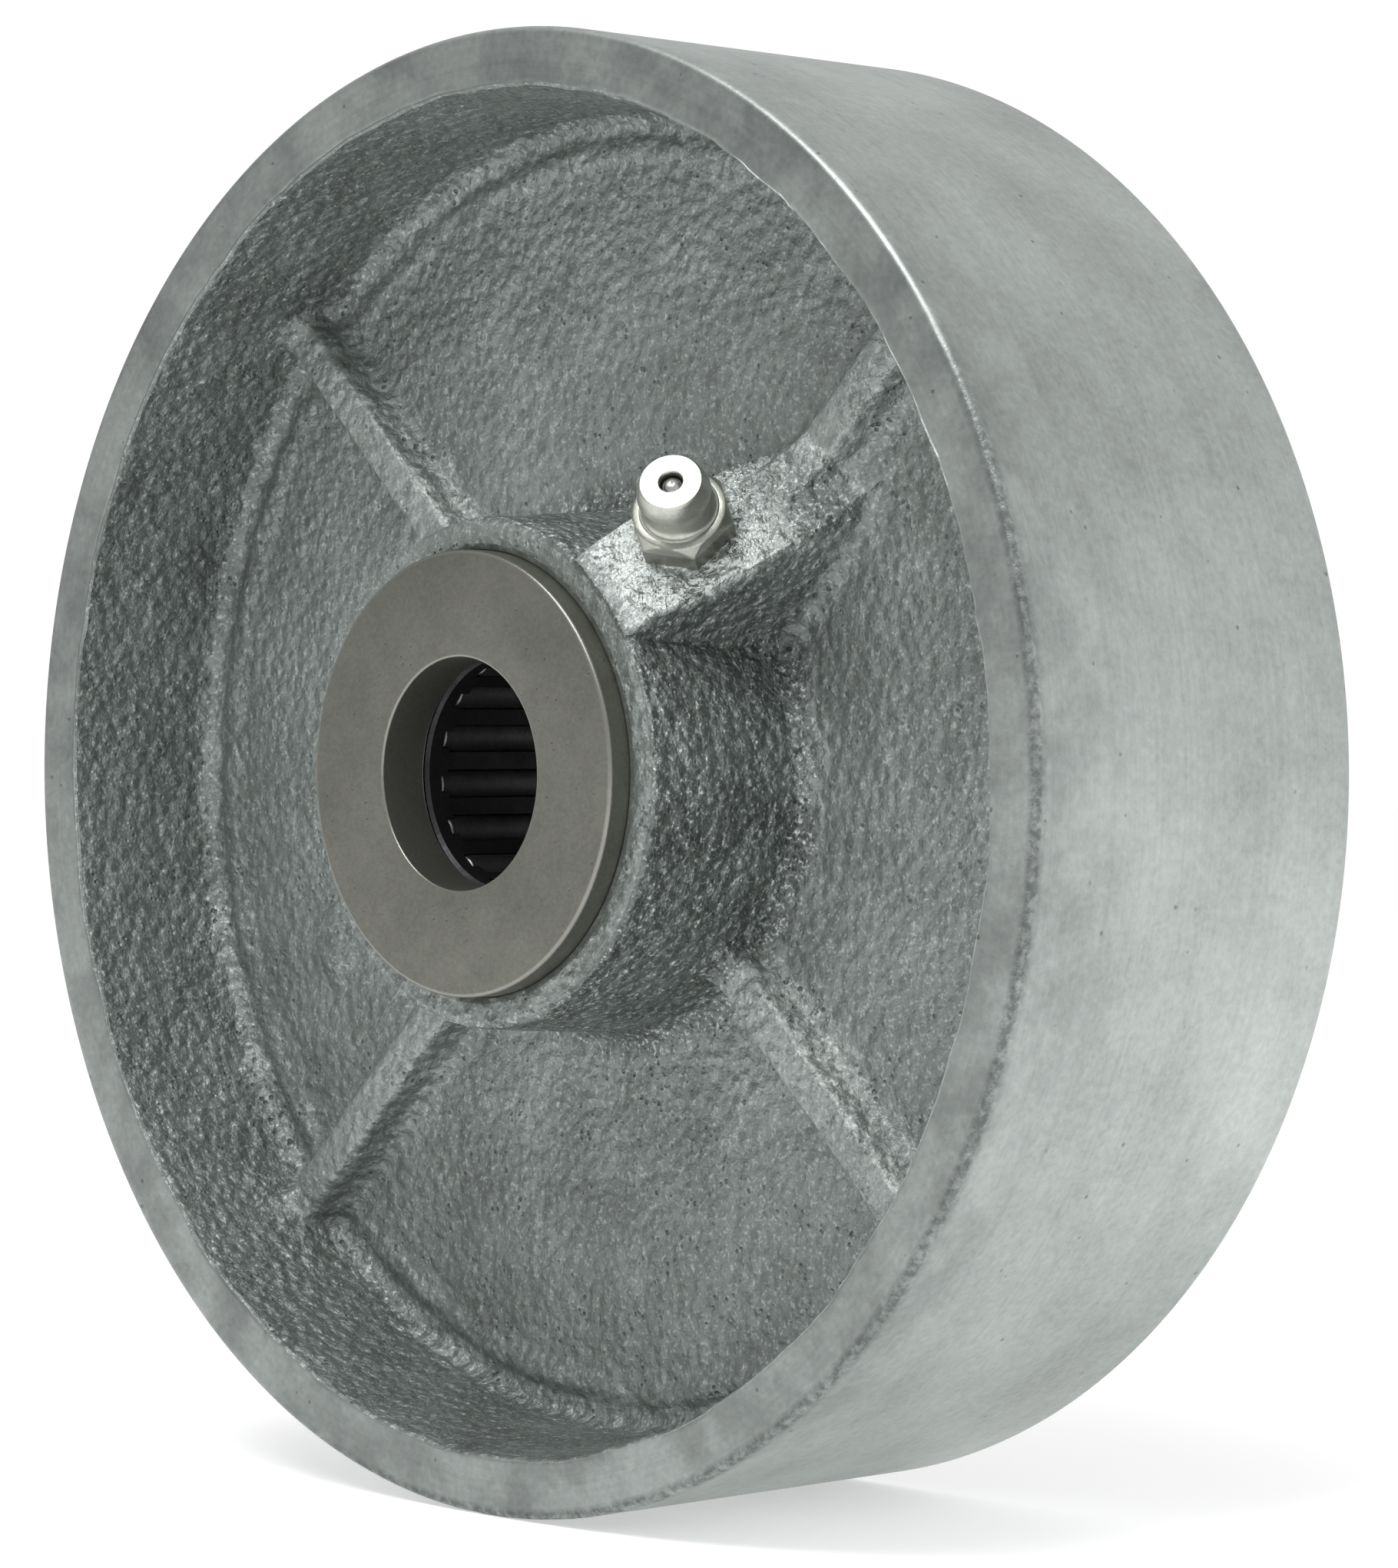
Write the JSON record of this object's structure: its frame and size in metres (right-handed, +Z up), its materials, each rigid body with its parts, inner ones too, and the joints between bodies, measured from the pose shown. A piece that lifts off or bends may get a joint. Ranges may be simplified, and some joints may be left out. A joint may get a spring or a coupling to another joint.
{
  "type": "cast wheel with roller bearing",
  "caption": "Cast iron wheel with a flat tread, ribbed web, caged straight roller bearing, retaining washers and a grease fitting.",
  "frame": {"origin": "the wheel's centre, on the axle bore's axis half way between the washers' outer faces", "axes": "+Y along the axle bore, away from the side with the grease fitting; +Z up; the ribs lie at 45 degrees to X and Z"},
  "size_m": [0.127, 0.0444, 0.127],
  "materials": {
    "cast_iron": "sand cast, rough in the pockets, turned on the rim faces and the tread",
    "washer_steel": "pressed steel, smooth and faintly brown",
    "bearing_steel": "ground steel, oily",
    "cage_steel": "dark oiled steel",
    "zinc_plate": "bright zinc plate",
    "ball_steel": "polished",
    "spring_steel": "drawn wire"
  },
  "bodies": {
    "wheel": {"wheel_casting": "cast_iron", "outer_race": "bearing_steel", "retaining_washer_front": "washer_steel", "retaining_washer_back": "washer_steel", "grease_fitting_body": "zinc_plate", "grease_check_spring": "spring_steel"},
    "roller_cage": {"cage_ring_front": "cage_steel", "cage_ring_back": "cage_steel", "cage_bars": "cage_steel"},
    "check_ball": {"grease_check_ball": "ball_steel"},
    "roller_01": {"roller_01": "bearing_steel"},
    "roller_02": {"roller_02": "bearing_steel"},
    "roller_03": {"roller_03": "bearing_steel"},
    "roller_04": {"roller_04": "bearing_steel"},
    "roller_05": {"roller_05": "bearing_steel"},
    "roller_06": {"roller_06": "bearing_steel"},
    "roller_07": {"roller_07": "bearing_steel"},
    "roller_08": {"roller_08": "bearing_steel"},
    "roller_09": {"roller_09": "bearing_steel"},
    "roller_10": {"roller_10": "bearing_steel"},
    "roller_11": {"roller_11": "bearing_steel"},
    "roller_12": {"roller_12": "bearing_steel"},
    "roller_13": {"roller_13": "bearing_steel"},
    "roller_14": {"roller_14": "bearing_steel"},
    "roller_15": {"roller_15": "bearing_steel"},
    "roller_16": {"roller_16": "bearing_steel"}
  },
  "joints": [
    {"name": "cage_turn", "type": "hinge", "parent": "wheel", "child": "roller_cage", "pos_m": [0, 0, 0], "axis": [0, 1, 0], "continuous": true},
    {"name": "check_ball_lift", "type": "slide", "parent": "wheel", "child": "check_ball", "axis": [-0.5, 0.7071, -0.5], "range_m": [0, 0.0008], "stiffness_N_per_m": 200, "springref_m": -0.0005, "deforming": ["grease_check_spring"]},
    {"name": "roller_01_turn", "type": "hinge", "parent": "roller_cage", "child": "roller_01", "pos_m": [0.0113, 0, 0.00109], "axis": [0, 1, 0], "continuous": true},
    {"name": "roller_02_turn", "type": "hinge", "parent": "roller_cage", "child": "roller_02", "pos_m": [0.01002, 0, 0.00533], "axis": [0, 1, 0], "continuous": true},
    {"name": "roller_03_turn", "type": "hinge", "parent": "roller_cage", "child": "roller_03", "pos_m": [0.00722, 0, 0.00876], "axis": [0, 1, 0], "continuous": true},
    {"name": "roller_04_turn", "type": "hinge", "parent": "roller_cage", "child": "roller_04", "pos_m": [0.00332, 0, 0.01086], "axis": [0, 1, 0], "continuous": true},
    {"name": "roller_05_turn", "type": "hinge", "parent": "roller_cage", "child": "roller_05", "pos_m": [-0.00109, 0, 0.0113], "axis": [0, 1, 0], "continuous": true},
    {"name": "roller_06_turn", "type": "hinge", "parent": "roller_cage", "child": "roller_06", "pos_m": [-0.00533, 0, 0.01002], "axis": [0, 1, 0], "continuous": true},
    {"name": "roller_07_turn", "type": "hinge", "parent": "roller_cage", "child": "roller_07", "pos_m": [-0.00876, 0, 0.00722], "axis": [0, 1, 0], "continuous": true},
    {"name": "roller_08_turn", "type": "hinge", "parent": "roller_cage", "child": "roller_08", "pos_m": [-0.01086, 0, 0.00332], "axis": [0, 1, 0], "continuous": true},
    {"name": "roller_09_turn", "type": "hinge", "parent": "roller_cage", "child": "roller_09", "pos_m": [-0.0113, 0, -0.00109], "axis": [0, 1, 0], "continuous": true},
    {"name": "roller_10_turn", "type": "hinge", "parent": "roller_cage", "child": "roller_10", "pos_m": [-0.01002, 0, -0.00533], "axis": [0, 1, 0], "continuous": true},
    {"name": "roller_11_turn", "type": "hinge", "parent": "roller_cage", "child": "roller_11", "pos_m": [-0.00722, 0, -0.00876], "axis": [0, 1, 0], "continuous": true},
    {"name": "roller_12_turn", "type": "hinge", "parent": "roller_cage", "child": "roller_12", "pos_m": [-0.00332, 0, -0.01086], "axis": [0, 1, 0], "continuous": true},
    {"name": "roller_13_turn", "type": "hinge", "parent": "roller_cage", "child": "roller_13", "pos_m": [0.00109, 0, -0.0113], "axis": [0, 1, 0], "continuous": true},
    {"name": "roller_14_turn", "type": "hinge", "parent": "roller_cage", "child": "roller_14", "pos_m": [0.00533, 0, -0.01002], "axis": [0, 1, 0], "continuous": true},
    {"name": "roller_15_turn", "type": "hinge", "parent": "roller_cage", "child": "roller_15", "pos_m": [0.00876, 0, -0.00722], "axis": [0, 1, 0], "continuous": true},
    {"name": "roller_16_turn", "type": "hinge", "parent": "roller_cage", "child": "roller_16", "pos_m": [0.01086, 0, -0.00332], "axis": [0, 1, 0], "continuous": true}
  ],
  "couplings": [
    {"joint": "roller_01_turn", "follows": "cage_turn", "ratio": -8.1512},
    {"joint": "roller_02_turn", "follows": "cage_turn", "ratio": -8.1512},
    {"joint": "roller_03_turn", "follows": "cage_turn", "ratio": -8.1512},
    {"joint": "roller_04_turn", "follows": "cage_turn", "ratio": -8.1512},
    {"joint": "roller_05_turn", "follows": "cage_turn", "ratio": -8.1512},
    {"joint": "roller_06_turn", "follows": "cage_turn", "ratio": -8.1512},
    {"joint": "roller_07_turn", "follows": "cage_turn", "ratio": -8.1512},
    {"joint": "roller_08_turn", "follows": "cage_turn", "ratio": -8.1512},
    {"joint": "roller_09_turn", "follows": "cage_turn", "ratio": -8.1512},
    {"joint": "roller_10_turn", "follows": "cage_turn", "ratio": -8.1512},
    {"joint": "roller_11_turn", "follows": "cage_turn", "ratio": -8.1512},
    {"joint": "roller_12_turn", "follows": "cage_turn", "ratio": -8.1512},
    {"joint": "roller_13_turn", "follows": "cage_turn", "ratio": -8.1512},
    {"joint": "roller_14_turn", "follows": "cage_turn", "ratio": -8.1512},
    {"joint": "roller_15_turn", "follows": "cage_turn", "ratio": -8.1512},
    {"joint": "roller_16_turn", "follows": "cage_turn", "ratio": -8.1512}
  ]
}
